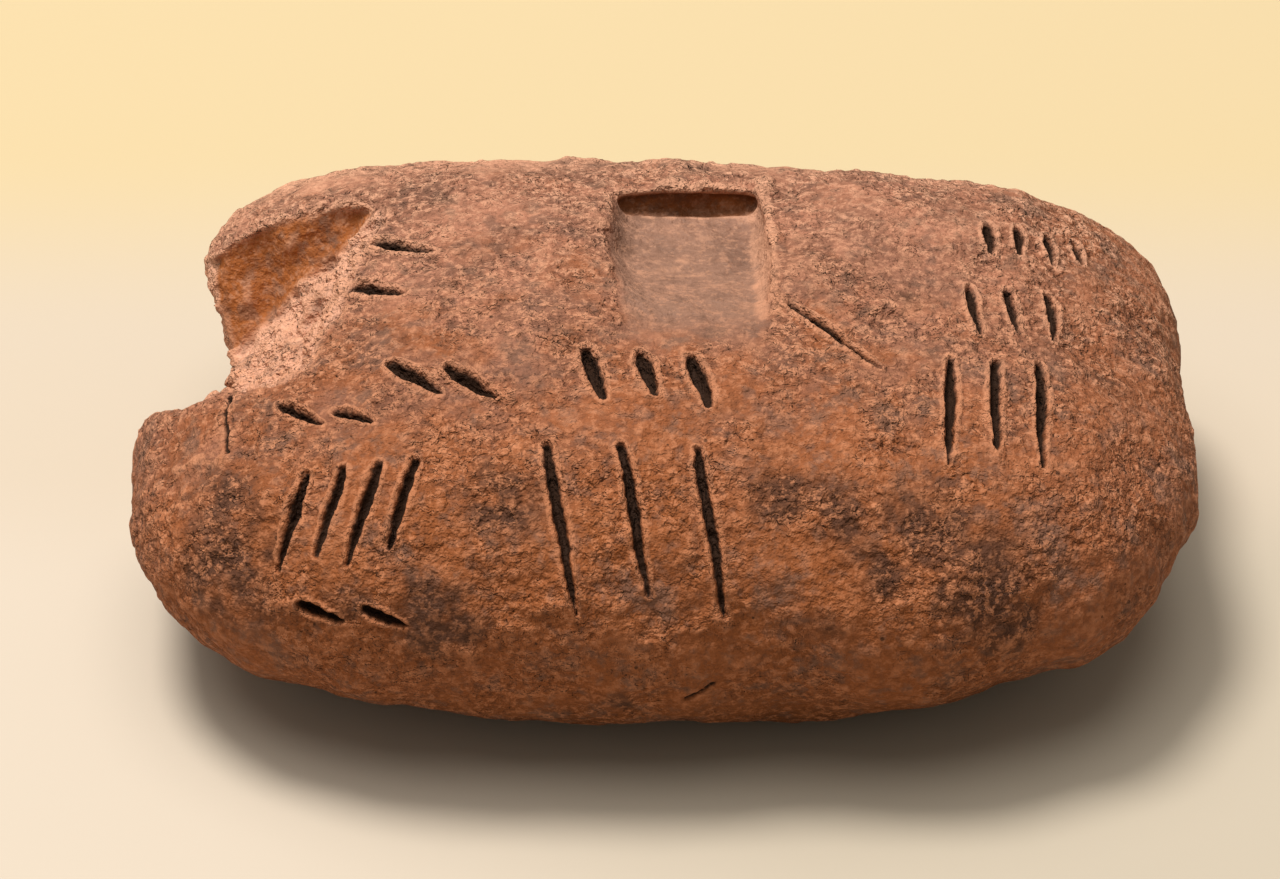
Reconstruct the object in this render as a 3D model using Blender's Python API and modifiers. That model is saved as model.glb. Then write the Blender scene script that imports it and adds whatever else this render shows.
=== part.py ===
"""A palm-sized clay tablet of the earliest writing, lying on its back.

The clay is one solid: a cushion shaped by hand, with the back of its left end
gouged away, one wide impression of a reed at the back of the face, and rows of
short incised strokes. Metres, +Z up, the reader at -Y, origin on the table under
the middle of the tablet.
"""
import math
from collections import namedtuple

import bmesh
import bpy
from mathutils import Matrix, Vector, noise
from mathutils.bvhtree import BVHTree

# Overall size of the tablet
LENGTH = 0.050
WIDTH = 0.034
THICKNESS = 0.0175

# Roundness of the cushion, where 2 is an ellipse and more is boxier: its plan, corner by corner,
# and its profile
FRONT_LEFT_PLAN_POWER = 3.6
FRONT_RIGHT_PLAN_POWER = 3.3
BACK_RIGHT_PLAN_POWER = 12.0
BACK_LEFT_PLAN_POWER = 8.0
PROFILE_POWER = 2.25

# The left end is drawn in towards the back, and the back edge towards the right, as a share of half
# the length and of half the width, and the higher the curve, the later it starts
LEFT_SLANT = 0.12
BACK_SLANT = 0.215
SLANT_CURVE = 1.2

# The underside is flat from this share of half the thickness, which leaves the widest part here
FLATTENED_FROM = 0.90
WAIST = THICKNESS * FLATTENED_FROM / (1 + FLATTENED_FROM)

# Unevenness that the hand left in the clay
LUMP_HEIGHT = 0.00018
LUMP_SPACING = 0.008

# Cells of the cage along X, Y and Z, and how often they are halved
CAGE_CELLS = (15, 10, 6)
CAGE_LEVELS = 1

# The face is read from the front at this slant, and what is cut into it is laid out on the plane
# square to that view: across as a share of LENGTH, up as a share of the height seen
READING_SLANT = math.radians(38)
READING_HEIGHT = math.hypot(WIDTH * math.sin(READING_SLANT), THICKNESS * math.cos(READING_SLANT))

# Impression of a flat reed, deepest at its back end and running out towards the front
Place = namedtuple("Place", "across up")
REED_WIDTH = 0.0070
REED_DEPTH = 0.0015
REED_EDGE = 0.0007
REED_HEIGHT = 0.0045
REED_BACK = Place(0.022, 0.472)
REED_FRONT = Place(0.032, 0.160)

# Breaks at the back of the left end. Each takes away what lies above all its broken faces, and
# a face is a point, as shares of LENGTH, WIDTH and THICKNESS from the origin, and where it looks
LOBE_BACK = ((-0.402, -0.118, 0.817), (0.080, 0.840, 0.530))
GOUGE_FACES = (
    ((-0.258, 0.220, 0.926), (-0.735, 0.180, 0.654)),
    ((-0.258, 0.240, 0.926), (-0.257, -0.910, 0.326)),
    LOBE_BACK,
)
END_BREAK_FACES = (
    ((-0.424, 0.235, 0.514), (-1.000, -0.160, -0.250)),
    LOBE_BACK,
)
BREAK_ROUNDING = 0.0012

# Points of the stylus: half the width of a stroke where it is widest
FINE_POINT = 0.00036
BROAD_POINT = 0.00050

# The middle of the stylus point runs below the face by this share of its radius
STROKE_SINK = 0.30

# How the stroke swells and dies away from its start to its end
STROKE_TAPER = (0.40, 0.95, 1.00, 0.80, 0.55, 0.25)

# Every second stroke of a row is shorter by this share
STROKE_UNEVENNESS = 0.12

# Points of a cutter nearer than this are one point
WELD_DISTANCE = 0.000001

# A row of strokes on the reading plane: its first stroke's start, the step to the next stroke's,
# how many there are, the run of one stroke, and the stylus point
Row = namedtuple("Row", "first step count run point")
ROWS = (
    Row((0.307, 0.395), (0.030, -0.008), 4, (0.004, -0.053), FINE_POINT),
    Row((0.288, 0.278), (0.037, -0.006), 3, (0.006, -0.085), FINE_POINT),
    Row((0.266, 0.140), (0.042, -0.004), 3, (-0.006, -0.190), FINE_POINT),
    Row((0.117, 0.243), (0.000, 0.000), 1, (0.082, -0.120), FINE_POINT),
    Row((-0.070, 0.156), (0.048, -0.006), 3, (0.014, -0.092), BROAD_POINT),
    Row((-0.106, -0.023), (0.068, -0.004), 3, (0.026, -0.300), FINE_POINT),
    Row((-0.284, 0.360), (-0.020, -0.080), 2, (0.070, -0.024), BROAD_POINT),
    Row((-0.252, 0.125), (0.056, -0.010), 2, (0.046, -0.048), BROAD_POINT),
    Row((-0.353, 0.053), (0.052, -0.006), 2, (0.040, -0.030), FINE_POINT),
    Row((-0.325, -0.070), (0.033, 0.006), 4, (-0.026, -0.175), FINE_POINT),
    Row((-0.330, -0.305), (0.060, -0.008), 2, (0.040, -0.030), FINE_POINT),
)


def clear_scene():
    for old in list(bpy.data.objects):
        bpy.data.objects.remove(old)


def new_collection(name):
    collection = bpy.data.collections.new(name)
    bpy.context.scene.collection.children.link(collection)
    return collection


def object_from(bm, name, collection):
    mesh = bpy.data.meshes.new(name)
    bm.to_mesh(mesh)
    bm.free()
    made = bpy.data.objects.new(name, mesh)
    collection.objects.link(made)
    return made


def grid_cube(cells):
    """A cube of half size 1 whose edges along X, Y and Z are cut into cells."""
    bm = bmesh.new()
    bmesh.ops.create_cube(bm, size=2.0)
    for axis, count in enumerate(cells):
        along = [
            edge for edge in bm.edges
            if abs((edge.verts[0].co - edge.verts[1].co).normalized()[axis]) > 0.9
        ]
        bmesh.ops.subdivide_edges(bm, edges=along, cuts=count - 1, use_grid_fill=True)
    return bm


def plan_power(direction):
    """How boxy the plan is in the quarter that this direction points to."""
    if direction.y < 0:
        return FRONT_RIGHT_PLAN_POWER if direction.x > 0 else FRONT_LEFT_PLAN_POWER
    return BACK_RIGHT_PLAN_POWER if direction.x > 0 else BACK_LEFT_PLAN_POWER


def cushion_point(direction):
    """The point of the cushion, of half size 1, that lies in this direction."""
    power = plan_power(direction)
    plan = abs(direction.x) ** power + abs(direction.y) ** power
    rise = abs(direction.z) ** PROFILE_POWER
    reach = (plan ** (PROFILE_POWER / power) + rise) ** (-1.0 / PROFILE_POWER)
    return direction * reach


def hand_shaped(point):
    """The cushion as a hand left it: one end drawn in, the sides lumpy and the underside flat."""
    shaped = point.copy()
    if point.x < 0 < point.y:
        shaped.x *= 1 - LEFT_SLANT * point.y ** SLANT_CURVE
    if point.x > 0 and point.y > 0:
        shaped.y *= 1 - BACK_SLANT * point.x ** SLANT_CURVE
    place = point * Vector((LENGTH, WIDTH, THICKNESS)) / 2
    shaped *= 1 + noise.noise(place / LUMP_SPACING) * LUMP_HEIGHT / (THICKNESS / 2)
    shaped.z = max(shaped.z, -FLATTENED_FROM)
    return shaped


def evaluated(thing):
    bpy.context.view_layer.update()
    return thing.evaluated_get(bpy.context.evaluated_depsgraph_get())


def fit_to_size(body):
    """Scales the cage so that the smooth body measures what the tablet does, and centres it."""
    places = [vertex.co for vertex in evaluated(body).data.vertices]
    low = Vector([min(place[axis] for place in places) for axis in range(3)])
    high = Vector([max(place[axis] for place in places) for axis in range(3)])
    middle = Vector(((low.x + high.x) / 2, (low.y + high.y) / 2, low.z))
    scales = [size / (high - low)[axis] for axis, size in enumerate((LENGTH, WIDTH, THICKNESS))]
    body.data.transform(Matrix.Diagonal((*scales, 1.0)) @ Matrix.Translation(-middle))


def make_body(collection):
    bm = grid_cube(CAGE_CELLS)
    for vertex in bm.verts:
        vertex.co = hand_shaped(cushion_point(vertex.co))
    body = object_from(bm, "clay_tablet", collection)
    body.data.shade_smooth()
    smooth = body.modifiers.new("smooth", "SUBSURF")
    smooth.levels = CAGE_LEVELS
    smooth.render_levels = CAGE_LEVELS
    fit_to_size(body)
    return body


class Face:
    """The written face, found by looking at the tablet from the reader's side."""

    def __init__(self, body):
        self.tree = BVHTree.FromObject(body, bpy.context.evaluated_depsgraph_get())
        self.inwards = Vector((0, math.cos(READING_SLANT), -math.sin(READING_SLANT)))
        self.across = Vector((1, 0, 0))
        self.up = self.across.cross(self.inwards)

    def at(self, across, up):
        """The point of the face at this place on the reading plane, and its normal."""
        start = Vector((0, 0, WAIST)) - self.inwards * LENGTH
        start += self.across * across * LENGTH + self.up * up * READING_HEIGHT
        place, normal = self.tree.ray_cast(start, self.inwards)[:2]
        return place, normal


def as_cutter(thing):
    thing.hide_render = True
    thing.display_type = "WIRE"
    thing.data.shade_flat()
    return thing


def cut(body, cutter):
    boolean = body.modifiers.new("cut " + cutter.name, "BOOLEAN")
    boolean.operation = "DIFFERENCE"
    boolean.solver = "EXACT"
    boolean.object = cutter


def frame_matrix(origin, along, upwards):
    """A frame at the origin with its Y axis along one direction and its Z axis near another."""
    y_axis = along.normalized()
    x_axis = y_axis.cross(upwards).normalized()
    z_axis = x_axis.cross(y_axis)
    turned = Matrix((x_axis, y_axis, z_axis)).transposed().to_4x4()
    return Matrix.Translation(origin) @ turned


def make_reed_cutter(face, collection):
    """A block with rounded edges whose lower face is the floor of the reed's impression."""
    back, back_normal = face.at(*REED_BACK)
    front, _ = face.at(*REED_FRONT)
    floor_back = back - back_normal * REED_DEPTH
    floor = frame_matrix(floor_back, floor_back - front, back_normal)
    length = (floor_back - front).length + REED_DEPTH
    bm = bmesh.new()
    bmesh.ops.create_cube(bm, size=1.0)
    bmesh.ops.scale(bm, vec=(REED_WIDTH, length, REED_HEIGHT), verts=bm.verts)
    bmesh.ops.translate(bm, vec=(0, -length / 2, REED_HEIGHT / 2), verts=bm.verts)
    bmesh.ops.bevel(bm, geom=bm.edges, offset=REED_EDGE, segments=2, profile=0.5, affect="EDGES")
    bmesh.ops.transform(bm, matrix=floor, verts=bm.verts)
    return as_cutter(object_from(bm, "reed_cutter", collection))


def from_shares(shares):
    return Vector((shares[0] * LENGTH, shares[1] * WIDTH, shares[2] * THICKNESS))


def make_break_cutter(name, broken_faces, collection):
    """The part of a large block that lies above all the broken faces, with rounded edges."""
    bm = bmesh.new()
    bmesh.ops.create_cube(bm, size=2 * LENGTH)
    for shares, looks in broken_faces:
        everything = bm.verts[:] + bm.edges[:] + bm.faces[:]
        split = bmesh.ops.bisect_plane(
            bm, geom=everything, plane_co=from_shares(shares), plane_no=looks, clear_inner=True,
        )
        rim = [piece for piece in split["geom_cut"] if isinstance(piece, bmesh.types.BMEdge)]
        bmesh.ops.edgenet_fill(bm, edges=rim)
    bmesh.ops.recalc_face_normals(bm, faces=bm.faces)
    bmesh.ops.bevel(
        bm, geom=bm.edges, offset=BREAK_ROUNDING, segments=3, profile=0.5, affect="EDGES",
    )
    return as_cutter(object_from(bm, name, collection))


def stroke_paths(row):
    """The places on the reading plane along each stroke of a row."""
    last = len(STROKE_TAPER) - 1
    for index in range(row.count):
        start = Vector(row.first) + Vector(row.step) * index
        run = Vector(row.run) * (1 - STROKE_UNEVENNESS * (index % 2))
        yield [start + run * (step / last) for step in range(last + 1)]


def add_stroke(curve, face, path, point):
    spline = curve.splines.new("POLY")
    spline.points.add(len(path) - 1)
    for knot, place, swell in zip(spline.points, path, STROKE_TAPER):
        on_face, normal = face.at(*place)
        radius = point * swell
        middle = on_face - normal * radius * STROKE_SINK
        knot.co = (*middle, 1.0)
        knot.radius = radius


def mesh_from_curve(curve_object, collection):
    """The curve's tubes as a closed mesh, in place of the curve."""
    mesh = bpy.data.meshes.new_from_object(evaluated(curve_object))
    bm = bmesh.new()
    bm.from_mesh(mesh)
    bmesh.ops.remove_doubles(bm, verts=bm.verts, dist=WELD_DISTANCE)
    bmesh.ops.recalc_face_normals(bm, faces=bm.faces)
    made = object_from(bm, curve_object.name + "_mesh", collection)
    made.matrix_world = curve_object.matrix_world
    bpy.data.meshes.remove(mesh)
    bpy.data.objects.remove(curve_object)
    return made


def make_stroke_cutter(face, collection):
    """All strokes of the inscription, as tapered tubes lying in the face."""
    curve = bpy.data.curves.new("strokes", "CURVE")
    curve.dimensions = "3D"
    curve.bevel_depth = 1.0
    curve.bevel_resolution = 2
    curve.use_fill_caps = True
    for row in ROWS:
        for path in stroke_paths(row):
            add_stroke(curve, face, path, row.point)
    curve_object = bpy.data.objects.new("strokes", curve)
    collection.objects.link(curve_object)
    return as_cutter(mesh_from_curve(curve_object, collection))


def clay():
    material = bpy.data.materials.new("fired clay")
    material.use_nodes = True
    shader = material.node_tree.nodes["Principled BSDF"]
    shader.inputs["Base Color"].default_value = (0.42, 0.18, 0.105, 1.0)
    shader.inputs["Roughness"].default_value = 0.85
    shader.inputs["Metallic"].default_value = 0.0
    return material


def main():
    clear_scene()
    tablet = new_collection("cuneiform_tablet")
    cutters = new_collection("cutters")
    body = make_body(tablet)
    body.data.materials.append(clay())
    face = Face(body)
    reed = make_reed_cutter(face, cutters)
    gouge = make_break_cutter("gouge_cutter", GOUGE_FACES, cutters)
    end_break = make_break_cutter("end_break_cutter", END_BREAK_FACES, cutters)
    strokes = make_stroke_cutter(face, cutters)
    for cutter in (strokes, reed, gouge, end_break):
        cut(body, cutter)


main()
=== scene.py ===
"""The looks of a palm-sized clay tablet of the earliest writing.

One piece of clay stands for the CAD solid. It is the same cushion with the same
breaks, reed impression and rows of strokes, with the grain, flakes, pits and
stains of old fired clay worked into its mesh. Metres, +Z up.
"""
import itertools
import math
from collections import namedtuple

import bmesh
import bpy
import numpy as np
from mathutils import Matrix, Vector, noise
from mathutils.bvhtree import BVHTree
from mathutils.kdtree import KDTree


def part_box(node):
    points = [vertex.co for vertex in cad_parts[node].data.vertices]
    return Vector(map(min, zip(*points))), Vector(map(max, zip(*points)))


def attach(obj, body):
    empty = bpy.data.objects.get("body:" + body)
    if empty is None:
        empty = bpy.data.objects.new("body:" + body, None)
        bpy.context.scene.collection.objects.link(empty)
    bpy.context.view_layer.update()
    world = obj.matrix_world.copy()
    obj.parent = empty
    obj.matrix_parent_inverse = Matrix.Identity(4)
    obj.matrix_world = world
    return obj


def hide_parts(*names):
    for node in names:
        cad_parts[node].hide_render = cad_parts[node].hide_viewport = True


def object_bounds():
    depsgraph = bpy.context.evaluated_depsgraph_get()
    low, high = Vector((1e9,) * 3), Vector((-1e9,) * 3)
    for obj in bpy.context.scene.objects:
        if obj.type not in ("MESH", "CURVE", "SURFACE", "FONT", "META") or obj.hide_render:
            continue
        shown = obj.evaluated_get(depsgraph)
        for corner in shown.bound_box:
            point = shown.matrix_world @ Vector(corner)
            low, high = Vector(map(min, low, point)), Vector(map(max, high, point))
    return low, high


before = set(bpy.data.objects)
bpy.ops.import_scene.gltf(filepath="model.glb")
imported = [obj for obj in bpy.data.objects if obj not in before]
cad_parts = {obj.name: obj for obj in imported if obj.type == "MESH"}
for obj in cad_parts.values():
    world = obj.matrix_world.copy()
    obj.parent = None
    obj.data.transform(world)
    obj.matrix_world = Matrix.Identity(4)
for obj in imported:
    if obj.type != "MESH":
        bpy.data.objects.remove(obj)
cad_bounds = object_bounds()

# The tablet's size, as the frame has it
LOW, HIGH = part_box("clay_tablet")
LENGTH, WIDTH, THICKNESS = HIGH - LOW

# The cushion, as in the CAD: how boxy it is by corner, how its ends are drawn in, its flat
# underside and its lumps, on a finer mesh
FRONT_LEFT_PLAN_POWER = 3.6
FRONT_RIGHT_PLAN_POWER = 3.3
BACK_RIGHT_PLAN_POWER = 12.0
BACK_LEFT_PLAN_POWER = 8.0
PROFILE_POWER = 2.25
LEFT_SLANT = 0.12
BACK_SLANT = 0.215
SLANT_CURVE = 1.2
FLATTENED_FROM = 0.90
WAIST = THICKNESS * FLATTENED_FROM / (1 + FLATTENED_FROM)
LUMP_HEIGHT = 0.00018
LUMP_SPACING = 0.008
CAGE_CELLS = (15, 10, 6)
BODY_LEVELS = 3

# The plane that the face is read on: across as a share of LENGTH, up as a share of the height seen
READING_SLANT = math.radians(38)
READING_HEIGHT = math.hypot(WIDTH * math.sin(READING_SLANT), THICKNESS * math.cos(READING_SLANT))

# The reed's impression
REED_WIDTH = 0.0070
REED_DEPTH = 0.0015
REED_EDGE = 0.0007
REED_HEIGHT = 0.0045
REED_BACK = (0.022, 0.472)
REED_FRONT = (0.032, 0.160)

# The broken faces at the back of the left end: a point in shares of the size, and where it looks
LOBE_BACK = ((-0.402, -0.118, 0.817), (0.080, 0.840, 0.530))
GOUGE_FACES = (
    ((-0.258, 0.220, 0.926), (-0.735, 0.180, 0.654)),
    ((-0.258, 0.240, 0.926), (-0.257, -0.910, 0.326)),
    LOBE_BACK,
)
END_BREAK_FACES = (
    ((-0.424, 0.235, 0.514), (-1.000, -0.160, -0.250)),
    LOBE_BACK,
)
BREAK_ROUNDING = 0.0012

# The strokes, in the same places as in the CAD, with narrower points and blunter ends
FINE_POINT = 0.00029
BROAD_POINT = 0.00040
STROKE_TAPER = (0.70, 1.00, 1.00, 0.90, 0.72, 0.45)
STROKE_UNEVENNESS = 0.12
Row = namedtuple("Row", "first step count run point")
ROWS = (
    Row((0.307, 0.395), (0.030, -0.008), 4, (0.004, -0.053), FINE_POINT),
    Row((0.288, 0.278), (0.037, -0.006), 3, (0.006, -0.085), FINE_POINT),
    Row((0.266, 0.140), (0.042, -0.004), 3, (-0.006, -0.190), FINE_POINT),
    Row((0.117, 0.243), (0.000, 0.000), 1, (0.082, -0.120), FINE_POINT),
    Row((-0.070, 0.156), (0.048, -0.006), 3, (0.014, -0.092), BROAD_POINT),
    Row((-0.106, -0.023), (0.068, -0.004), 3, (0.026, -0.300), FINE_POINT),
    Row((-0.284, 0.360), (-0.020, -0.080), 2, (0.070, -0.024), BROAD_POINT),
    Row((-0.252, 0.125), (0.056, -0.010), 2, (0.046, -0.048), BROAD_POINT),
    Row((-0.353, 0.053), (0.052, -0.006), 2, (0.040, -0.030), FINE_POINT),
    Row((-0.325, -0.070), (0.033, 0.006), 4, (-0.026, -0.175), FINE_POINT),
    Row((-0.330, -0.305), (0.060, -0.008), 2, (0.040, -0.030), FINE_POINT),
)
STROKE_DEPTH = 2.1
STROKE_STEPS = 14
STROKE_WOBBLE = 0.00012
STROKE_RAGGEDNESS = 0.00006

# The lip of clay pushed up beside a stroke: its middle and its spread in half widths of the stroke
LIP_HEIGHT = 0.00018
LIP_MIDDLE = 1.35
LIP_SPREAD = 0.40

# Fine cracks and low ridges, as paths on the reading plane
CRACK_HALF_WIDTH = 0.00016
CRACK_DEPTH = 0.00030
CRACK_WANDER = 0.00012
RIDGE_WANDER = 0.00015
CRACKS = (
    ((-0.402, 0.080), (-0.405, 0.040), (-0.400, -0.035)),
    ((0.020, -0.476), (0.045, -0.455)),
)
Ridge = namedtuple("Ridge", "path half_width height")
RIDGES = (
    Ridge(((0.097, 0.480), (0.099, 0.360), (0.106, 0.235)), 0.00035, 0.00026),
    Ridge(((-0.455, -0.062), (-0.430, -0.046), (-0.405, -0.052)), 0.00030, 0.00016),
    Ridge(((0.130, 0.012), (0.200, 0.000), (0.270, -0.018)), 0.00022, 0.00008),
)

# The clay was wiped in this direction, which draws its flakes out
GRAIN_TURN = math.radians(28)
GRAIN_SQUEEZE = 0.55

# The rims of the breaks and of the reed's impression lie this deep inside the whole cushion, from
# the first depth to the second, and are worn down and flaked within these reaches
RIM_DEPTHS = (0.00003, 0.00020)
WORN_REACH = 0.0032
WORN_ROUNDS = 130
FLAKED_REACH = 0.0030

# The left part holds the breaks and the rest holds the reed's impression. It sets in at the first
# share of LENGTH and is whole at the second
LEFT_PART = (-0.150, -0.270)

# Where the wall of the gouge looks
WALL_LOOKS = GOUGE_FACES[1][1]

# Relief of the skin: the size of its blobs, its height and the seed of its noise. TEARS push the
# outlines of the flakes sideways
Relief = namedtuple("Relief", "spacing height seed")
WAVES = Relief(0.0036, 0.00026, 10)
BULGES = Relief(0.0075, 0.00035, 14)
TEARS = Relief(0.0010, 0.00040, 20)
FLAKES = Relief(0.0019, 0.00014, 22)
FLAKE_STEPS = 3
CHIPS = Relief(0.0008, 0.00006, 23)
CHIP_STEPS = 2
CRESTS = Relief(0.00130, 0.00005, 26)
GRAIN = Relief(0.00070, 0.00007, 30)
PITS = Relief(0.0018, 0.00030, 40)
PIT_RADIUS = 0.00020
PIT_SHARE = 0.25

# Relief of the breaks: plates whose outlines are pushed sideways by PLATE_TEARS, lumps on the
# slope and ribs on the wall, both drawn out by their stretch
PLATE_TEARS = Relief(0.0008, 0.00030, 60)
PLATES = Relief(0.0009, 0.00012, 62)
SLOPE_LUMPS = Relief(0.0016, 0.00070, 63)
SLOPE_STRETCH = (0.6, 1.3, 0.8)
WALL_RIBS = Relief(0.0026, 0.00045, 66)
WALL_STRETCH = (1.0, 1.0, 0.25)

# A patch of the face combed with fine lines: its middle and reach on the reading plane
COMBED_MIDDLE = (0.235, -0.150)
COMBED_REACH = (0.045, 0.060)
COMB_SPACING = 0.00005
COMB_HEIGHT = 0.00003

# The back wall of the reed's impression is sunk by this much more
REED_END_SINK = 0.0005

# Mesh of the clay: the side of its cells, and about how many triangles it keeps
CELL = 0.00013
TRIANGLES = 196000

# Soot stains on the face: place on the reading plane, radius and strength
STAINS = (
    (-0.145, -0.120, 0.0019, 0.8),
    (-0.165, -0.060, 0.0008, 0.6),
    (-0.200, -0.335, 0.0019, 1.0),
    (-0.215, -0.270, 0.0010, 0.8),
    (0.112, -0.105, 0.0020, 0.8),
    (0.160, -0.140, 0.0017, 0.7),
    (0.190, -0.240, 0.0015, 0.8),
    (0.240, -0.170, 0.0027, 0.7),
    (0.285, -0.262, 0.0026, 0.9),
    (0.310, -0.340, 0.0020, 0.7),
    (0.150, -0.330, 0.0012, 0.5),
    (-0.405, -0.130, 0.0026, 0.6),
    (-0.400, -0.240, 0.0032, 0.7),
    (-0.290, -0.300, 0.0014, 0.5),
    (-0.041, -0.484, 0.0010, 0.7),
    (0.235, 0.260, 0.0014, 0.5),
    (0.400, 0.110, 0.0018, 0.4),
)

# Colours of the clay
BRICK = (0.235, 0.078, 0.031, 1.0)
ROSE = (0.345, 0.150, 0.092, 1.0)
BROWN = (0.215, 0.094, 0.058, 1.0)
ORANGE = (0.262, 0.084, 0.032, 1.0)
# Soot of the stains and specks, also used as painted shade in the hollows
SOOT_AND_SHADE = (0.070, 0.029, 0.016, 1.0)
GREY = (0.135, 0.072, 0.050, 1.0)
# Pale dust, also used for painted highlights
DUST_AND_HIGHLIGHT = (0.640, 0.345, 0.222, 1.0)
BRIGHT_BRICK = (0.480, 0.188, 0.088, 1.0)
FRESH = (0.680, 0.365, 0.245, 1.0)
# Painted shade for the walls turned from the light
WALL_SHADE = (0.285, 0.082, 0.014, 1.0)
# A deep colour that paints shade at the front
DEEP_AND_SHADED = (0.235, 0.070, 0.018, 1.0)
# Painted shade for the low parts
SHADED = (0.100, 0.030, 0.006, 1.0)
BURNISHED = (0.235, 0.132, 0.092, 1.0)
# Dirt of the pores, strokes and cracks, also used as painted shade in the strokes, cracks and the
# reed's back wall
DIRT_AND_SHADE = (0.022, 0.009, 0.004, 1.0)

# Colours of the floor
FRONT_LEFT_FLOOR = (0.520, 0.455, 0.378, 1.0)
# The floor in front towards the right, darkened as a painted shadow
SHADOWED_FRONT_RIGHT_FLOOR = (0.440, 0.388, 0.312, 1.0)
NEAR_FLOOR = (0.500, 0.430, 0.345, 1.0)
FAR_FLOOR = (0.530, 0.430, 0.260, 1.0)

# Half the side of the floor
FLOOR_REACH = 0.8

# Lights, with the place, the size, the power and the colour of each, and the sky around them
LIGHTS = (
    ("soft key", (-0.12, 0.02, 0.89), 0.95, 5.9, (1.0, 0.97, 0.92)),
    ("crisp key", (-0.22, 0.15, 0.84), 0.28, 7.4, (1.0, 0.95, 0.88)),
)
SKY_COLOUR = (1.0, 0.93, 0.82, 1.0)
SKY_STRENGTH = 0.33

# Camera of the photograph
IMAGE_SIZE = (1280, 879)
PIXELS_PER_METRE = 21.0e3
CAMERA_DISTANCE = 0.28
CAMERA_ASIDE = -0.0011
CAMERA_RISE = -0.00072
SENSOR = 36.0


def new_object(data, name):
    made = bpy.data.objects.new(name, data)
    bpy.context.scene.collection.objects.link(made)
    return made


def object_from(bm, name):
    mesh = bpy.data.meshes.new(name)
    bm.to_mesh(mesh)
    bm.free()
    return new_object(mesh, name)


def evaluated(thing):
    bpy.context.view_layer.update()
    return thing.evaluated_get(bpy.context.evaluated_depsgraph_get())


def settle(thing):
    """Turns the object's modifiers into its mesh."""
    mesh = bpy.data.meshes.new_from_object(evaluated(thing))
    thing.modifiers.clear()
    thing.data = mesh


# The camera

def make_camera():
    back = Vector((0, -math.cos(READING_SLANT), math.sin(READING_SLANT)))
    target = Vector((CAMERA_ASIDE, 0, THICKNESS / 2 + CAMERA_RISE))
    lens = bpy.data.cameras.new("camera")
    lens.sensor_width = SENSOR
    lens.lens = SENSOR * CAMERA_DISTANCE * PIXELS_PER_METRE / IMAGE_SIZE[0]
    lens.clip_start = 0.01
    camera = new_object(lens, "camera")
    camera.location = target + back * CAMERA_DISTANCE
    camera.rotation_euler = (-back).to_track_quat("-Z", "Y").to_euler()
    bpy.context.scene.camera = camera


# The cushion and its breaks

def grid_cube(cells):
    """A cube of half size 1 whose edges along X, Y and Z are cut into cells."""
    bm = bmesh.new()
    bmesh.ops.create_cube(bm, size=2.0)
    for axis, count in enumerate(cells):
        along = [
            edge for edge in bm.edges
            if abs((edge.verts[0].co - edge.verts[1].co).normalized()[axis]) > 0.9
        ]
        bmesh.ops.subdivide_edges(bm, edges=along, cuts=count - 1, use_grid_fill=True)
    return bm


def plan_power(direction):
    if direction.y < 0:
        return FRONT_RIGHT_PLAN_POWER if direction.x > 0 else FRONT_LEFT_PLAN_POWER
    return BACK_RIGHT_PLAN_POWER if direction.x > 0 else BACK_LEFT_PLAN_POWER


def cushion_point(direction):
    """The point of the cushion, of half size 1, that lies in this direction."""
    power = plan_power(direction)
    plan = abs(direction.x) ** power + abs(direction.y) ** power
    rise = abs(direction.z) ** PROFILE_POWER
    reach = (plan ** (PROFILE_POWER / power) + rise) ** (-1.0 / PROFILE_POWER)
    return direction * reach


def hand_shaped(point):
    """The cushion as a hand left it: one end drawn in, the sides lumpy and the underside flat."""
    shaped = point.copy()
    if point.x < 0 < point.y:
        shaped.x *= 1 - LEFT_SLANT * point.y ** SLANT_CURVE
    if point.x > 0 and point.y > 0:
        shaped.y *= 1 - BACK_SLANT * point.x ** SLANT_CURVE
    place = point * Vector((LENGTH, WIDTH, THICKNESS)) / 2
    shaped *= 1 + noise.noise(place / LUMP_SPACING) * LUMP_HEIGHT / (THICKNESS / 2)
    shaped.z = max(shaped.z, -FLATTENED_FROM)
    return shaped


def fit_to_size(body):
    """Scales the cage so that the smooth body measures what the tablet does, and centres it."""
    places = [vertex.co for vertex in evaluated(body).data.vertices]
    low = Vector([min(place[axis] for place in places) for axis in range(3)])
    high = Vector([max(place[axis] for place in places) for axis in range(3)])
    middle = Vector(((low.x + high.x) / 2, (low.y + high.y) / 2, low.z))
    scales = [size / (high - low)[axis] for axis, size in enumerate((LENGTH, WIDTH, THICKNESS))]
    body.data.transform(Matrix.Diagonal((*scales, 1.0)) @ Matrix.Translation(-middle))


def make_cushion():
    bm = grid_cube(CAGE_CELLS)
    for vertex in bm.verts:
        vertex.co = hand_shaped(cushion_point(vertex.co))
    body = object_from(bm, "clay")
    body.data.shade_smooth()
    smooth = body.modifiers.new("smooth", "SUBSURF")
    smooth.levels = BODY_LEVELS
    fit_to_size(body)
    settle(body)
    return body


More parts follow.
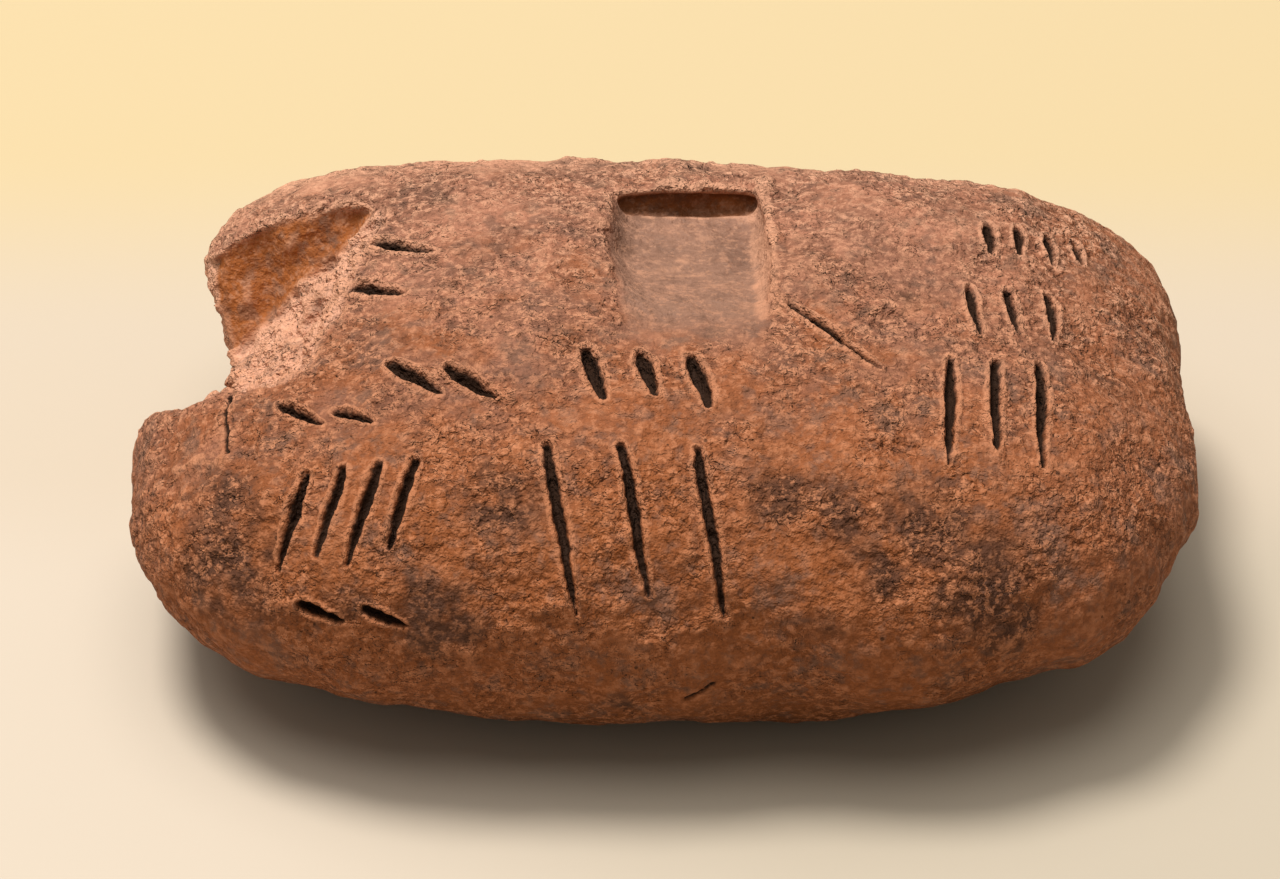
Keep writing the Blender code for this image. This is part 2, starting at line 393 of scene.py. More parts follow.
class Face:
    """The written face, found by looking at the whole cushion from the reader's side."""

    def __init__(self, body):
        self.tree = BVHTree.FromObject(body, bpy.context.evaluated_depsgraph_get())
        self.inwards = Vector((0, math.cos(READING_SLANT), -math.sin(READING_SLANT)))
        self.across = Vector((1, 0, 0))
        self.up = self.across.cross(self.inwards)

    def at(self, across, up):
        start = Vector((0, 0, WAIST)) - self.inwards * LENGTH
        start += self.across * across * LENGTH + self.up * up * READING_HEIGHT
        place, normal = self.tree.ray_cast(start, self.inwards)[:2]
        return place, normal

    def depth_below(self, points):
        """How far each point lies inside the whole cushion."""
        return np.array([self.tree.find_nearest(point)[3] for point in points])

    def places(self, points):
        """Where each point is seen on the reading plane, across and up."""
        from_waist = points - np.array((0, 0, WAIST))
        return points[:, 0] / LENGTH, from_waist @ np.array(self.up) / READING_HEIGHT


def frame_matrix(origin, along, upwards):
    """A frame at the origin with its Y axis along one direction and its Z axis near another."""
    y_axis = along.normalized()
    x_axis = y_axis.cross(upwards).normalized()
    z_axis = x_axis.cross(y_axis)
    turned = Matrix((x_axis, y_axis, z_axis)).transposed().to_4x4()
    return Matrix.Translation(origin) @ turned


def make_reed_cutter(face):
    back, back_normal = face.at(*REED_BACK)
    front, _ = face.at(*REED_FRONT)
    floor_back = back - back_normal * REED_DEPTH
    floor = frame_matrix(floor_back, floor_back - front, back_normal)
    length = (floor_back - front).length + REED_DEPTH
    bm = bmesh.new()
    bmesh.ops.create_cube(bm, size=1.0)
    bmesh.ops.scale(bm, vec=(REED_WIDTH, length, REED_HEIGHT), verts=bm.verts)
    bmesh.ops.translate(bm, vec=(0, -length / 2, REED_HEIGHT / 2), verts=bm.verts)
    bmesh.ops.bevel(bm, geom=bm.edges, offset=REED_EDGE, segments=5, profile=0.5, affect="EDGES")
    bmesh.ops.transform(bm, matrix=floor, verts=bm.verts)
    return object_from(bm, "reed_cutter")


def from_shares(shares):
    return Vector((shares[0] * LENGTH, shares[1] * WIDTH, shares[2] * THICKNESS))


def make_break_cutter(name, broken_faces):
    """The part of a large block that lies above all the broken faces, with rounded edges."""
    bm = bmesh.new()
    bmesh.ops.create_cube(bm, size=2 * LENGTH)
    for shares, looks in broken_faces:
        everything = bm.verts[:] + bm.edges[:] + bm.faces[:]
        split = bmesh.ops.bisect_plane(
            bm, geom=everything, plane_co=from_shares(shares), plane_no=looks, clear_inner=True,
        )
        rim = [piece for piece in split["geom_cut"] if isinstance(piece, bmesh.types.BMEdge)]
        bmesh.ops.edgenet_fill(bm, edges=rim)
    bmesh.ops.recalc_face_normals(bm, faces=bm.faces)
    bmesh.ops.bevel(
        bm, geom=bm.edges, offset=BREAK_ROUNDING, segments=6, profile=0.5, affect="EDGES",
    )
    return object_from(bm, name)


def cut_away(body, cutters):
    for cutter in cutters:
        boolean = body.modifiers.new("cut", "BOOLEAN")
        boolean.operation = "DIFFERENCE"
        boolean.solver = "EXACT"
        boolean.object = cutter
    settle(body)
    for cutter in cutters:
        bpy.data.objects.remove(cutter)


def remesh(body, cell):
    voxels = body.modifiers.new("cells", "REMESH")
    voxels.mode = "VOXEL"
    voxels.voxel_size = cell
    settle(body)


# Fields over the vertices

def draws(key, seed, count):
    """Numbers from 0 to 1 that depend on nothing but the lattice cell and the seed."""
    mixed = key[:, 0] * 73856093 ^ key[:, 1] * 19349663 ^ key[:, 2] * 83492791 ^ seed * 9176
    for _ in range(count):
        mixed = ((mixed ^ (mixed >> 15)) * 1274126177) & 0xFFFFFFFF
        yield mixed / 0xFFFFFFFF


def lattice_noise(points, spacing, seed):
    """Gradient noise, mostly between -1 and 1, with a blob every few spacings."""
    scaled = points / spacing
    cell = np.floor(scaled).astype(np.int64)
    part = scaled - cell
    fade = part ** 3 * (part * (part * 6 - 15) + 10)
    total = np.zeros(len(points))
    for corner in itertools.product((0, 1), repeat=3):
        slope = np.zeros(len(points))
        weight = np.ones(len(points))
        for axis, draw in enumerate(draws(cell + corner, seed, 3)):
            slope += (draw * 2 - 1) * (part[:, axis] - corner[axis])
            weight *= fade[:, axis] if corner[axis] else 1 - fade[:, axis]
        total += slope * weight
    return total * 1.6


def fractal(points, spacing, seed, octaves=3):
    """Noise with finer noise on it, each octave half as large and half as strong."""
    total = np.zeros(len(points))
    for octave in range(octaves):
        total += lattice_noise(points, spacing / 2 ** octave, seed + octave) * 0.5 ** octave
    return total


def smoothstep(low, high, values):
    share = np.clip((values - low) / (high - low), 0, 1)
    return share * share * (3 - 2 * share)


def distance_to_path(points, path):
    """For each point, its distance to the path and how far along the path that is, from 0 to 1."""
    nearest = np.full(len(points), np.inf)
    along = np.zeros(len(points))
    last = len(path) - 1
    for index in range(last):
        start, step = path[index], path[index + 1] - path[index]
        share = np.clip((points - start) @ step / (step @ step), 0, 1)
        gap = np.linalg.norm(points - start - share[:, None] * step, axis=1)
        closer = gap < nearest
        nearest[closer] = gap[closer]
        along[closer] = (index + share[closer]) / last
    return nearest, along


def near_path(points, path, reach):
    """Which points lie within reach of the path's box."""
    low, high = path.min(0) - reach, path.max(0) + reach
    return np.nonzero(((points > low) & (points < high)).all(1))[0]


def path_on_face(face, places):
    return np.array([face.at(*place)[0] for place in places])


def stroke_paths(face):
    """Every stroke's path over the face, with its half width."""
    number = 0
    for row in ROWS:
        for index in range(row.count):
            start = Vector(row.first) + Vector(row.step) * index
            run = Vector(row.run) * (1 - STROKE_UNEVENNESS * (index % 2))
            shares = np.linspace(0, 1, STROKE_STEPS)
            path = path_on_face(face, [start + run * share for share in shares])
            path[:, 0] += lattice_noise(path, 0.002, seed=50 + number) * STROKE_WOBBLE
            yield path, row.point
            number += 1


def cut_strokes(points, face):
    """How deep each point sinks into a stroke, and how far it rises in a lip beside one."""
    sunk = np.zeros(len(points))
    raised = np.zeros(len(points))
    knots = np.linspace(0, 1, len(STROKE_TAPER))
    for path, half_width in stroke_paths(face):
        close = near_path(points, path, 3 * half_width)
        gap, along = distance_to_path(points[close], path)
        gap = gap + fractal(points[close], 0.0006, seed=80) * STROKE_RAGGEDNESS
        swell = np.interp(along, knots, STROKE_TAPER)
        across = np.clip(gap, 0, None) / (half_width * swell)
        depth = half_width * STROKE_DEPTH * swell * np.clip(1 - across ** 1.5, 0, None)
        lip = LIP_HEIGHT * np.sqrt(swell) * np.exp(-((across - LIP_MIDDLE) / LIP_SPREAD) ** 2)
        sunk[close] = np.maximum(sunk[close], depth)
        raised[close] = np.maximum(raised[close], lip * (across > 0.9))
    return sunk, raised


def cut_cracks(points, face):
    sunk = np.zeros(len(points))
    for places in CRACKS:
        path = path_on_face(face, places)
        close = near_path(points, path, 4 * CRACK_HALF_WIDTH)
        wander = fractal(points[close], 0.0008, seed=70)[:, None] * CRACK_WANDER
        gap, _ = distance_to_path(points[close] + wander, path)
        depth = CRACK_DEPTH * np.clip(1 - gap / CRACK_HALF_WIDTH, 0, None)
        sunk[close] = np.maximum(sunk[close], depth)
    return sunk


def raise_ridges(points, face):
    raised = np.zeros(len(points))
    for ridge in RIDGES:
        path = path_on_face(face, ridge.path)
        close = near_path(points, path, 4 * ridge.half_width)
        wander = fractal(points[close], 0.0012, seed=75)[:, None] * RIDGE_WANDER
        gap, _ = distance_to_path(points[close] + wander, path)
        height = ridge.height * np.exp(-(gap / ridge.half_width) ** 2)
        raised[close] = np.maximum(raised[close], height)
    return raised


def pits(points, spacing, radius, depth, share, seed):
    """Small round holes, one at most in each cell of a lattice, in a share of the cells."""
    cell = np.floor(points / spacing).astype(np.int64)
    sunk = np.zeros(len(points))
    for corner in itertools.product((-1, 0, 1), repeat=3):
        key = cell + corner
        x, y, z, size, chance = draws(key, seed, 5)
        centre = (key + np.stack((x, y, z), 1)) * spacing
        gap = np.linalg.norm(points - centre, axis=1) / (radius * (0.5 + size))
        hole = depth * (0.4 + 0.6 * size) * np.clip(1 - gap ** 2, 0, None)
        sunk = np.maximum(sunk, hole * (chance < share))
    return sunk


def warped(points, spacing, reach, seed):
    """The points pushed about by noise, so that what is built on them has ragged outlines."""
    pushes = [fractal(points, spacing, seed + 5 * axis) for axis in range(3)]
    return points + np.stack(pushes, 1) * reach


def plates(points, spacing, seed):
    """Plates with crisp edges, each at its own height from -1 to 1, like clay that has flaked."""
    cell = np.floor(points / spacing).astype(np.int64)
    nearest = np.full(len(points), np.inf)
    height = np.zeros(len(points))
    for corner in itertools.product((-1, 0, 1), repeat=3):
        key = cell + corner
        x, y, z, level = draws(key, seed, 4)
        gap = np.linalg.norm(points - (key + np.stack((x, y, z), 1)) * spacing, axis=1)
        closer = gap < nearest
        nearest[closer] = gap[closer]
        height[closer] = level[closer] * 2 - 1
    return height


def terraces(values, steps):
    """Values turned into flat levels with short slopes between them, like clay that has flaked."""
    scaled = values * steps
    level = np.floor(scaled)
    return (level + smoothstep(0.0, 0.30, scaled - level)) / steps


def crests(points, spacing, seed):
    """Narrow ridges that wind about, from 0 to 1."""
    return np.clip(1 - 3 * np.abs(lattice_noise(points, spacing, seed)), 0, 1) ** 1.5


def along_grain(points):
    """The points in a frame drawn out along the direction in which the clay was wiped."""
    cosine, sine = math.cos(GRAIN_TURN), math.sin(GRAIN_TURN)
    along = points[:, 0] * cosine + points[:, 1] * sine
    across = points[:, 1] * cosine - points[:, 0] * sine
    return np.stack((along * GRAIN_SQUEEZE, across, points[:, 2]), 1)


def nearness(points, chosen, reach):
    """How near each point is to the chosen ones: 1 beside them, 0 beyond reach."""
    tree = KDTree(len(chosen))
    for index, point in enumerate(chosen):
        tree.insert(point, index)
    tree.balance()
    gaps = np.array([tree.find(point)[2] for point in points])
    return 1 - smoothstep(0, reach, gaps)


def soften(points, edges, weight, rounds):
    """Draws each point towards the middle of its neighbours, as much as its weight says."""
    moving = weight > 0.001
    nearby = edges[moving[edges].any(1)]
    used, renumbered = np.unique(nearby, return_inverse=True)
    first, second = renumbered.reshape(-1, 2).T
    count = len(used)
    share = (weight * moving)[used][:, None]
    part = points[used]
    neighbours = np.bincount(first, minlength=count) + np.bincount(second, minlength=count)
    for _ in range(rounds):
        middle = np.empty_like(part)
        for axis in range(3):
            place = part[:, axis]
            total = np.bincount(first, place[second], count)
            total += np.bincount(second, place[first], count)
            middle[:, axis] = total / neighbours
        part = part + (middle - part) * share
    softened = points.copy()
    softened[used] = part
    return softened


def stain_field(points, face):
    total = np.zeros(len(points))
    ragged = 1 + 0.8 * fractal(points, 0.0012, seed=90, octaves=4)
    for across, up, radius, strength in STAINS:
        centre = np.array(face.at(across, up)[0])
        gap = np.linalg.norm(points - centre, axis=1) / radius
        total = np.maximum(total, strength * np.exp(-(gap ** 2)) * ragged)
    return smoothstep(0.15, 0.75, total)


class Surface:
    """The places, normals and edges of a body's mesh."""

    def __init__(self, body):
        self.mesh = body.data
        count = len(self.mesh.vertices)
        flat = np.empty(count * 3, dtype=np.float32)
        self.mesh.vertices.foreach_get("co", flat)
        self.points = flat.reshape(-1, 3).astype(np.float64)
        ends = np.empty(len(self.mesh.edges) * 2, dtype=np.int32)
        self.mesh.edges.foreach_get("vertices", ends)
        self.edges = ends.reshape(-1, 2)

    def normals(self):
        flat = np.empty(len(self.points) * 3, dtype=np.float32)
        self.mesh.vertex_normals.foreach_get("vector", flat)
        return flat.reshape(-1, 3).astype(np.float64)

    def move(self, points):
        self.points = points
        self.mesh.vertices.foreach_set("co", points.astype(np.float32).ravel())
        self.mesh.update()

    def soften(self, weight, rounds):
        return soften(self.points, self.edges, weight, rounds)

    def add_field(self, name, values):
        layer = self.mesh.attributes.new(name, "FLOAT", "POINT")
        layer.data.foreach_set("value", values.astype(np.float32))


def round_edges(surface, face, rim, left):
    """Wears down the rims of the breaks, and the side and the front of the reed's impression."""
    across, up = face.places(surface.points)
    soft_side = np.maximum(1 - smoothstep(-0.030, 0.000, across), 1 - smoothstep(0.18, 0.26, up))
    soft_side = np.maximum(soft_side, 0.45 * smoothstep(0.050, 0.080, across))
    soft_side *= 1 - 0.7 * smoothstep(0.36, 0.45, up)
    weight = left * 0.35 + (1 - left) * (0.12 + 0.88 * soft_side)
    weight = nearness(surface.points, rim, WORN_REACH) * weight
    surface.move(surface.soften(weight, WORN_ROUNDS))


Zones = namedtuple("Zones", "broken pressed wall reed_end lit_side open_face calm")


def find_zones(normals, below, left, sunk):
    """How much each point belongs to the parts of the surface, from 0 to 1."""
    broken = smoothstep(0.00005, 0.00050, below) * left
    pressed = smoothstep(0.00005, 0.00030, below) * (1 - left)
    wall = smoothstep(0.60, 0.85, normals @ np.array(WALL_LOOKS)) * broken
    reed_end = pressed * smoothstep(0.35, 0.75, -normals[:, 1])
    lit_side = pressed * smoothstep(0.15, 0.45, -normals[:, 0])
    open_face = (1 - pressed) * (1 - broken)
    underneath = smoothstep(0.0, -0.6, normals[:, 2])
    calm = (1 - np.clip(sunk / 0.0003, 0, 1)) * (1 - 0.7 * underneath)
    return Zones(broken, pressed, wall, reed_end, lit_side, open_face, calm)


def flakiness(points, rim, left):
    """How much the skin has flaked: in patches, less at the front, fully at the breaks' rims."""
    patches = fractal(points, 0.0035, seed=25)
    flaky = 0.40 + 0.60 * smoothstep(-0.35, 0.35, patches)
    flaky *= 1 - 0.25 * smoothstep(-0.006, -0.014, points[:, 1])
    return np.maximum(flaky, nearness(points, rim, FLAKED_REACH) * left)


def flakes(points):
    """Flakes and chips with crisp edges, and narrow crests, drawn out along the grain."""
    torn = warped(along_grain(points), *TEARS)
    large = fractal(torn, FLAKES.spacing, FLAKES.seed)
    small = fractal(torn, CHIPS.spacing, CHIPS.seed, octaves=2)
    lift = terraces(large, FLAKE_STEPS) * FLAKES.height
    lift += terraces(small, CHIP_STEPS) * CHIPS.height
    lift += crests(torn, CRESTS.spacing, CRESTS.seed) * CRESTS.height
    return lift


def combed_lines(points, face):
    """Fine lines side by side on one patch of the face."""
    across, up = face.places(points)
    sway = fractal(points, 0.003, seed=35) * 4
    lines = np.sin(points[:, 0] / COMB_SPACING + sway) * COMB_HEIGHT
    from_middle = ((across - COMBED_MIDDLE[0]) / COMBED_REACH[0]) ** 2
    from_middle += ((up - COMBED_MIDDLE[1]) / COMBED_REACH[1]) ** 2
    return lines * np.exp(-from_middle)


def grain(points, zones):
    lift = fractal(points, GRAIN.spacing, GRAIN.seed, octaves=2) * GRAIN.height
    return lift * (1 - 0.70 * zones.pressed)


def pores(points, zones):
    sunk = pits(points, PITS.spacing, PIT_RADIUS, PITS.height, PIT_SHARE, PITS.seed)
    return sunk * (1 - 0.8 * zones.pressed)


def waves(points):
    """The broad unevenness of a lump shaped by hand."""
    lift = fractal(points, WAVES.spacing, WAVES.seed) * WAVES.height
    lift += lattice_noise(points, BULGES.spacing, BULGES.seed) * BULGES.height
    return lift


def crumbled(points, zones):
    """The torn clay of the breaks: plates and lumps on the slope, ribs on the wall."""
    lift = plates(warped(points, *PLATE_TEARS), PLATES.spacing, PLATES.seed) * PLATES.height
    lumps = fractal(points * SLOPE_STRETCH, SLOPE_LUMPS.spacing, SLOPE_LUMPS.seed)
    lift += lumps * SLOPE_LUMPS.height
    lift *= zones.broken * (1 - 0.85 * zones.wall)
    ribs = fractal(points * WALL_STRETCH, WALL_RIBS.spacing, WALL_RIBS.seed, octaves=2)
    lift += ribs * WALL_RIBS.height * zones.wall
    return lift


def relief_field(surface, zones, raised):
    """How far each point stands out from its surroundings or catches the light, about one half."""
    even = surface.soften(np.ones(len(surface.points)), 10)
    standing_out = ((surface.points - even) * surface.normals()).sum(1)
    lip = np.clip(raised / LIP_HEIGHT, 0, 1)
    return np.clip(0.5 + standing_out / 0.00020 + 0.45 * zones.lit_side + 0.22 * lip, 0, 1)


def weather(body, face):
    """Works strokes, cracks, flakes, pits and grain into the mesh, and notes what lies where."""
    surface = Surface(body)
    below = face.depth_below(surface.points)
    left = smoothstep(*LEFT_PART, surface.points[:, 0] / LENGTH)
    rim = surface.points[(below > RIM_DEPTHS[0]) & (below < RIM_DEPTHS[1])]
    round_edges(surface, face, rim, left)

    points, normals = surface.points, surface.normals()
    sunk, raised = cut_strokes(points, face)
    cracked = cut_cracks(points, face)
    raised += raise_ridges(points, face)
    zones = find_zones(normals, below, left, sunk)
    flaky = flakiness(points, rim, left)

    skin = flakes(points) * (flaky * zones.open_face)
    skin += grain(points, zones) + combed_lines(points, face)
    skin -= pores(points, zones)
    skin += crumbled(points, zones)
    lift = waves(points) + raised + zones.calm * skin
    lift -= sunk + cracked + REED_END_SINK * zones.reed_end
    low, high = (np.array(corner) for corner in cad_bounds)
    surface.move(np.clip(points + normals * lift[:, None], low, high))

    # How dark the strokes and cracks are painted with dirt and shade, and the painted shade of the
    # reed's back wall
    groove = (sunk + 1.5 * cracked) / 0.0006 + 0.22 * zones.reed_end
    surface.add_field("relief", relief_field(surface, zones, raised))
    surface.add_field("groove", np.clip(groove, 0, 1))
    surface.add_field("broken", zones.broken)
    # The walls turned from the light, where shade is painted
    surface.add_field("wall", np.maximum(zones.wall, zones.reed_end))
    surface.add_field("pressed", smoothstep(0.0, 0.0009, below) * (1 - left))
    surface.add_field("stain", stain_field(points, face))
    surface.add_field("flaky", flaky * (1 - 0.8 * np.maximum(zones.wall, zones.pressed)))


def thin_out(body, triangles):
    body.data.calc_loop_triangles()
    fewer = body.modifiers.new("fewer", "DECIMATE")
    fewer.ratio = triangles / len(body.data.loop_triangles)
    settle(body)


# Materials

class Tree:
    """Short ways to add nodes to a material."""

    def __init__(self, name):
        self.material = bpy.data.materials.new(name)
        self.material.use_nodes = True
        self.nodes = self.material.node_tree.nodes
        self.links = self.material.node_tree.links
        self.shader = self.nodes["Principled BSDF"]
        self.place = self.nodes.new("ShaderNodeTexCoord").outputs["Object"]

    def feed(self, socket, value):
        if isinstance(value, bpy.types.NodeSocket):
            self.links.new(value, socket)
        else:
            socket.default_value = value

    def axes(self):
        """The X, Y and Z of the place."""
        node = self.nodes.new("ShaderNodeSeparateXYZ")
        self.feed(node.inputs["Vector"], self.place)
        return node.outputs["X"], node.outputs["Y"], node.outputs["Z"]

    def field(self, name):
        """What weather() noted under this name."""
        node = self.nodes.new("ShaderNodeAttribute")
        node.attribute_name = name
        return node.outputs["Fac"]

    def noise(self, size, detail=3.0, roughness=0.6, stretch=(1, 1, 1)):
        """Noise whose blobs are about this size in metres."""
        mapping = self.nodes.new("ShaderNodeMapping")
        self.feed(mapping.inputs["Vector"], self.place)
        mapping.inputs["Scale"].default_value = stretch
        node = self.nodes.new("ShaderNodeTexNoise")
        self.feed(node.inputs["Vector"], mapping.outputs["Vector"])
        node.inputs["Scale"].default_value = 1 / size
        node.inputs["Detail"].default_value = detail
        node.inputs["Roughness"].default_value = roughness
        return node.outputs["Fac"]

    def dots(self, spacing, radius, share):
        """1 inside small round dots, at most one for each cell of this spacing, and 0 outside."""
        node = self.nodes.new("ShaderNodeTexVoronoi")
        self.feed(node.inputs["Vector"], self.place)
        node.inputs["Scale"].default_value = 1 / spacing
        split = self.nodes.new("ShaderNodeSeparateColor")
        self.feed(split.inputs["Color"], node.outputs["Color"])
        chosen = self.math("LESS_THAN", split.outputs["Red"], share)
        edge = radius / spacing
        inside = self.ramp(node.outputs["Distance"], edge * 0.5, edge, 1.0, 0.0)
        return self.times(chosen, inside)

    def ramp(self, value, low, high, to_low=0.0, to_high=1.0):
        """A smooth rise from one level to another while the value goes from low to high."""
        node = self.nodes.new("ShaderNodeMapRange")
        node.interpolation_type = "SMOOTHSTEP"
        self.feed(node.inputs["Value"], value)
        node.inputs["From Min"].default_value = low
        node.inputs["From Max"].default_value = high
        node.inputs["To Min"].default_value = to_low
        node.inputs["To Max"].default_value = to_high
        return node.outputs["Result"]

    def math(self, operation, first, second):
        node = self.nodes.new("ShaderNodeMath")
        node.operation = operation
        self.feed(node.inputs[0], first)
        self.feed(node.inputs[1], second)
        return node.outputs["Value"]

    def times(self, first, second):
        return self.math("MULTIPLY", first, second)

    def swing(self, value, strength):
        """The value's swing about one half, times the strength."""
        return self.times(self.math("SUBTRACT", value, 0.5), strength)

    def mix(self, share, first, second):
        node = self.nodes.new("ShaderNodeMix")
        node.data_type = "RGBA"
        self.feed(node.inputs["Factor"], share)
        self.feed(node.inputs["A"], first)
        self.feed(node.inputs["B"], second)
        return node.outputs["Result"]

    def bump(self, height, distance, below=None):
        """A normal bent by the height, laid over the normal below it if there is one."""
        node = self.nodes.new("ShaderNodeBump")
        node.inputs["Distance"].default_value = distance
        node.inputs["Strength"].default_value = 1.0
        self.feed(node.inputs["Height"], height)
        if below is not None:
            self.feed(node.inputs["Normal"], below)
        return node.outputs["Normal"]


class ClayTree(Tree):
    """The clay's material. Each step lays one thing over the colour so far."""

    def __init__(self):
        super().__init__("old_fired_clay")
        self.x, self.y, self.z = self.axes()
        # toward_back makes the clay lighter and rosier at the back and darker at the front:
        # painted light from behind and painted shade at the front
        back = self.ramp(self.y, -0.019, 0.016)
        self.toward_back = self.ramp(back, 0.0, 1.0, -0.22, 0.20)
        # The pale colour for dust, mottles and painted highlights, paler at the top of the back as
        # painted light from behind
        upward = self.times(back, self.ramp(self.z, 0.004, 0.012, 0.25, 1.0))
        self.crest = self.mix(upward, BRIGHT_BRICK, DUST_AND_HIGHLIGHT)
        self.flaky = self.field("flaky")
        self.strong = self.ramp(self.flaky, 0.0, 1.0, 0.35, 1.0)
        self.unbroken = self.ramp(self.field("broken"), 0.0, 1.0, 1.0, 0.35)
        self.mottled = self.noise(0.0012)
        drawn_out = (GRAIN_SQUEEZE, 1, 1)
        self.flake = self.noise(0.0013, detail=4.0, roughness=0.65, stretch=drawn_out)
        self.edge = self.ramp(self.flake, 0.500, 0.520)

    def ground(self):
        """Brick and rose clay with brown and orange patches, rosier and lighter towards the back
        and darker towards the front as painted light and shade.
        """
        cloudy = self.math("ADD", self.noise(0.0045, detail=4.0), self.toward_back)
        colour = self.mix(self.ramp(cloudy, 0.32, 0.66), BRICK, ROSE)
        brownish = self.ramp(self.noise(0.0032, detail=4.0), 0.42, 0.58, 0.0, 0.75)
        colour = self.mix(brownish, colour, BROWN)
        rusty = self.math("SUBTRACT", self.noise(0.0036, detail=4.0), self.toward_back)
        return self.mix(self.ramp(rusty, 0.56, 0.74, 0.0, 0.75), colour, ORANGE)

    def toned_by_place(self, colour):
        """Painted light by place: a deeper colour with painted shade at the front, dust and a
        painted highlight on the back rim, painted shade low down, and brick colour with painted
        shade at the right end.
        """
        # Painted shade at the front, where less light falls
        colour = self.mix(self.ramp(self.y, -0.006, -0.0155, 0.0, 0.70), colour, DEEP_AND_SHADED)
        # Dust and a painted highlight on the back rim, as if lit from behind
        lit_back_rim = self.ramp(self.y, 0.009, 0.0155, 0.0, 0.75)
        lit_back_rim = self.times(lit_back_rim, self.ramp(self.z, 0.007, 0.013))
        colour = self.mix(lit_back_rim, colour, DUST_AND_HIGHLIGHT)
        # Painted shade low down
        colour = self.mix(self.ramp(self.z, 0.0070, 0.0020, 0.0, 0.85), colour, SHADED)
        # Brick colour and painted shade at the right end, away from the light
        return self.mix(self.ramp(self.x, 0.012, 0.022, 0.0, 0.75), colour, BRICK)

    def opened(self, colour):
        """The burnished floor of the reed's impression, the fresh clay of the breaks, and painted
        shade on the gouge's wall and the reed's back wall, which face away from the light.
        """
        colour = self.mix(self.times(self.field("pressed"), 0.80), colour, BURNISHED)
        colour = self.mix(self.times(self.field("broken"), 0.85), colour, FRESH)
        # Painted shade on the walls turned from the light
        return self.mix(self.times(self.field("wall"), 0.95), colour, WALL_SHADE)

    def stained(self, colour):
        """Small pale and grey mottles, grey clouds and the soot stains of the face."""
        colour = self.mix(self.ramp(self.mottled, 0.52, 0.70, 0.0, 0.35), colour, self.crest)
        colour = self.mix(self.ramp(self.mottled, 0.48, 0.32, 0.0, 0.55), colour, GREY)
        clouds = self.noise(0.0024, detail=5.0, roughness=0.68)
        clouds = self.ramp(clouds, 0.52, 0.66, 0.0, 0.75)
        colour = self.mix(clouds, colour, GREY)
        return self.mix(self.times(self.field("stain"), 0.92), colour, SOOT_AND_SHADE)

    def worn_and_lit(self, colour):
        """Pale dust and a painted highlight where the relief stands out, soot and painted shade in
        its hollows.
        """
        relief = self.field("relief")
        colour = self.mix(self.ramp(relief, 0.55, 0.90, 0.0, 0.55), colour, self.crest)
        # Soot and painted shade in the hollows
        hollow = self.times(self.ramp(relief, 0.45, 0.00, 0.0, 0.42), self.unbroken)
        return self.mix(hollow, colour, SOOT_AND_SHADE)

    def lit_flake_edges(self, colour):
        """Painted highlights: thin light lines along the edges of flakes, with gaps in them."""
        lit = self.times(self.edge, self.ramp(self.flake, 0.530, 0.560, 1.0, 0.0))
        broken_up = self.ramp(self.noise(0.0021), 0.44, 0.56)
        lit = self.times(self.times(lit, broken_up), self.flaky)
        return self.mix(self.times(lit, 0.60), colour, self.crest)

    def specked(self, colour):
        """Light and dark specks, stronger where the skin has flaked."""
        speck = self.noise(0.00042, detail=2.0, roughness=0.75)
        light = self.times(self.ramp(speck, 0.51, 0.64, 0.0, 0.62), self.strong)
        dark = self.times(self.ramp(speck, 0.49, 0.33, 0.0, 0.46), self.strong)
        colour = self.mix(light, colour, self.crest)
        return self.mix(self.times(dark, self.unbroken), colour, SOOT_AND_SHADE)

    def dirty_and_shaded(self, colour):
        """Dirt in small pores; dirt and painted shade in the strokes and cracks, and painted shade
        on the back wall of the reed's impression.
        """
        large = self.dots(0.0016, radius=0.00014, share=0.22)
        small = self.dots(0.0010, radius=0.00009, share=0.22)
        pores = self.math("MAXIMUM", large, small)
        pores = self.times(pores, self.ramp(self.field("pressed"), 0.0, 0.6, 1.0, 0.1))
        colour = self.mix(self.times(pores, 0.75), colour, DIRT_AND_SHADE)
        # Dirt and painted shade in the strokes and cracks
        return self.mix(self.ramp(self.field("groove"), 0.06, 0.45, 0.0, 0.98), colour, DIRT_AND_SHADE)

    def roughness(self):
        """Dull, and smoother where the reed pressed the clay."""
        rough = self.ramp(self.mottled, 0.3, 0.7, 0.72, 0.92)
        return self.math("SUBTRACT", rough, self.times(self.field("pressed"), 0.20))

    def grain(self):
        """Bumps finer than the mesh: ragged lumps, the steps of flakes, and fine grain."""
        lumps = self.noise(0.00070)
        ragged = self.swing(lumps, self.ramp(self.flaky, 0.0, 1.0, 0.15, 0.55))
        stepped = self.swing(self.edge, self.ramp(self.flaky, 0.0, 1.0, 0.0, 0.14))
        coarse = self.bump(self.math("ADD", ragged, stepped), distance=0.00065)
        fine = self.swing(self.noise(0.00036, detail=2.0), self.strong)
        return self.bump(fine, distance=0.00045, below=coarse)


def clay_material():
    tree = ClayTree()
    colour = tree.toned_by_place(tree.ground())
    colour = tree.stained(tree.opened(colour))
    colour = tree.lit_flake_edges(tree.worn_and_lit(colour))
    colour = tree.dirty_and_shaded(tree.specked(colour))
    tree.feed(tree.shader.inputs["Base Color"], colour)
    tree.feed(tree.shader.inputs["Roughness"], tree.roughness())
    tree.feed(tree.shader.inputs["Normal"], tree.grain())
    tree.shader.inputs["Specular IOR Level"].default_value = 0.15
    return tree.material


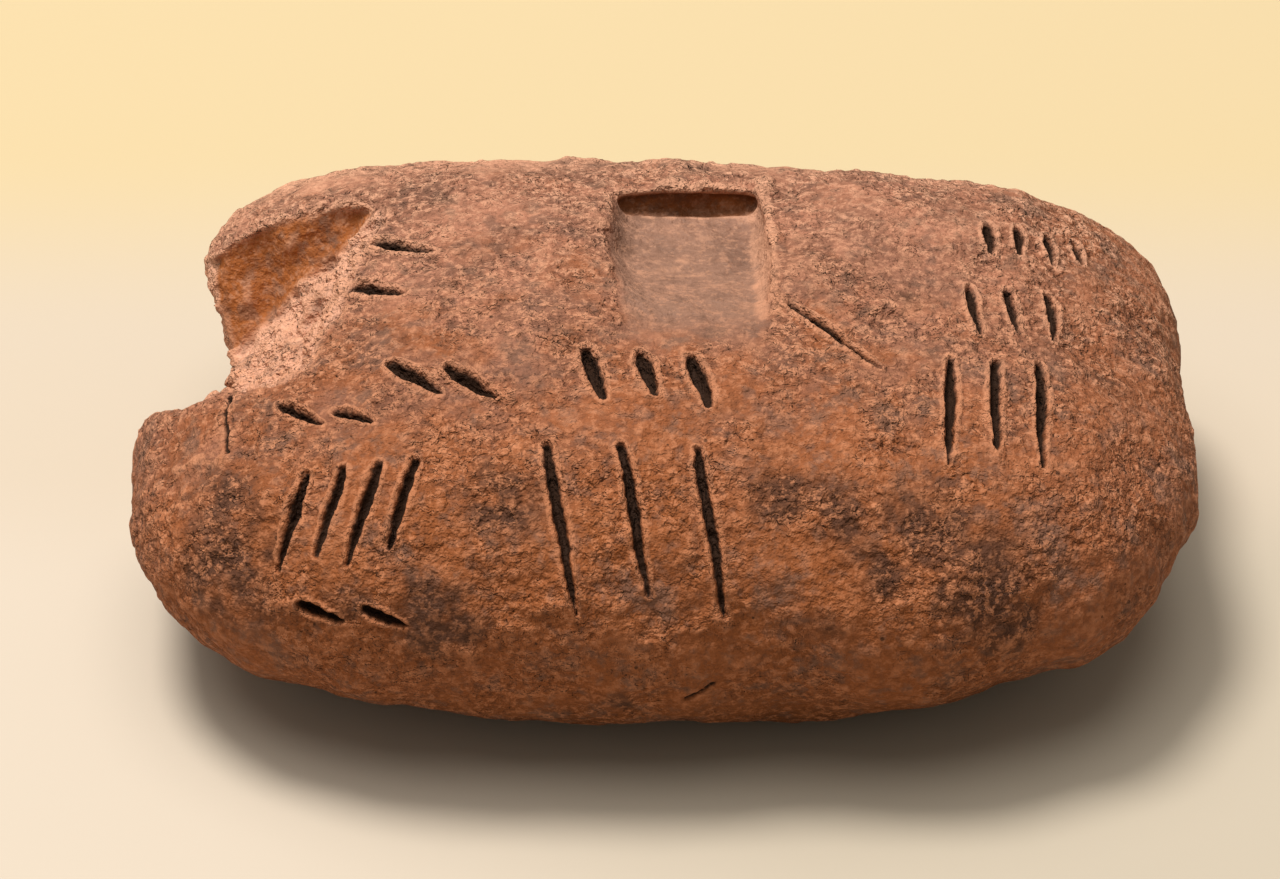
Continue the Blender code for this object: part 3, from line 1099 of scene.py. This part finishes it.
def floor_material():
    """Pale and plain, a little yellower beyond the tablet, and darker in front towards the right
    as a painted shadow.
    """
    tree = Tree("pale_floor")
    x, y, _ = tree.axes()
    # A painted shadow darkens the front towards the right
    front = tree.mix(tree.ramp(x, -0.022, 0.010), FRONT_LEFT_FLOOR, SHADOWED_FRONT_RIGHT_FLOOR)
    floor = tree.mix(tree.ramp(y, -0.002, 0.009), front, NEAR_FLOOR)
    floor = tree.mix(tree.ramp(y, 0.018, 0.036), floor, FAR_FLOOR)
    tree.feed(tree.shader.inputs["Base Color"], floor)
    tree.shader.inputs["Roughness"].default_value = 0.85
    tree.shader.inputs["Specular IOR Level"].default_value = 0.2
    return tree.material


# The scene around it

def make_floor():
    bm = bmesh.new()
    bmesh.ops.create_grid(bm, x_segments=2, y_segments=2, size=FLOOR_REACH)
    floor = object_from(bm, "floor")
    floor.data.materials.append(floor_material())


def make_light(name, place, size, power, colour):
    """A round soft light that looks at the tablet."""
    lamp = bpy.data.lights.new(name, "AREA")
    lamp.shape = "DISK"
    lamp.size = size
    lamp.energy = power
    lamp.color = colour
    light = new_object(lamp, name)
    light.location = place
    light.rotation_euler = (-Vector(place)).to_track_quat("-Z", "Y").to_euler()


def make_lights():
    for light in LIGHTS:
        make_light(*light)
    world = bpy.data.worlds.new("studio")
    world.use_nodes = True
    sky = world.node_tree.nodes["Background"]
    sky.inputs["Color"].default_value = SKY_COLOUR
    sky.inputs["Strength"].default_value = SKY_STRENGTH
    bpy.context.scene.world = world


def make_clay():
    body = make_cushion()
    face = Face(body)
    cut_away(body, [
        make_break_cutter("gouge_cutter", GOUGE_FACES),
        make_break_cutter("end_break_cutter", END_BREAK_FACES),
        make_reed_cutter(face),
    ])
    remesh(body, CELL)
    weather(body, face)
    thin_out(body, TRIANGLES)
    body.data.materials.clear()
    body.data.materials.append(clay_material())
    body.data.shade_smooth()
    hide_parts("clay_tablet")
    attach(body, "root")


make_camera()
make_clay()
make_floor()
make_lights()
bpy.context.scene.view_settings.view_transform = "Standard"
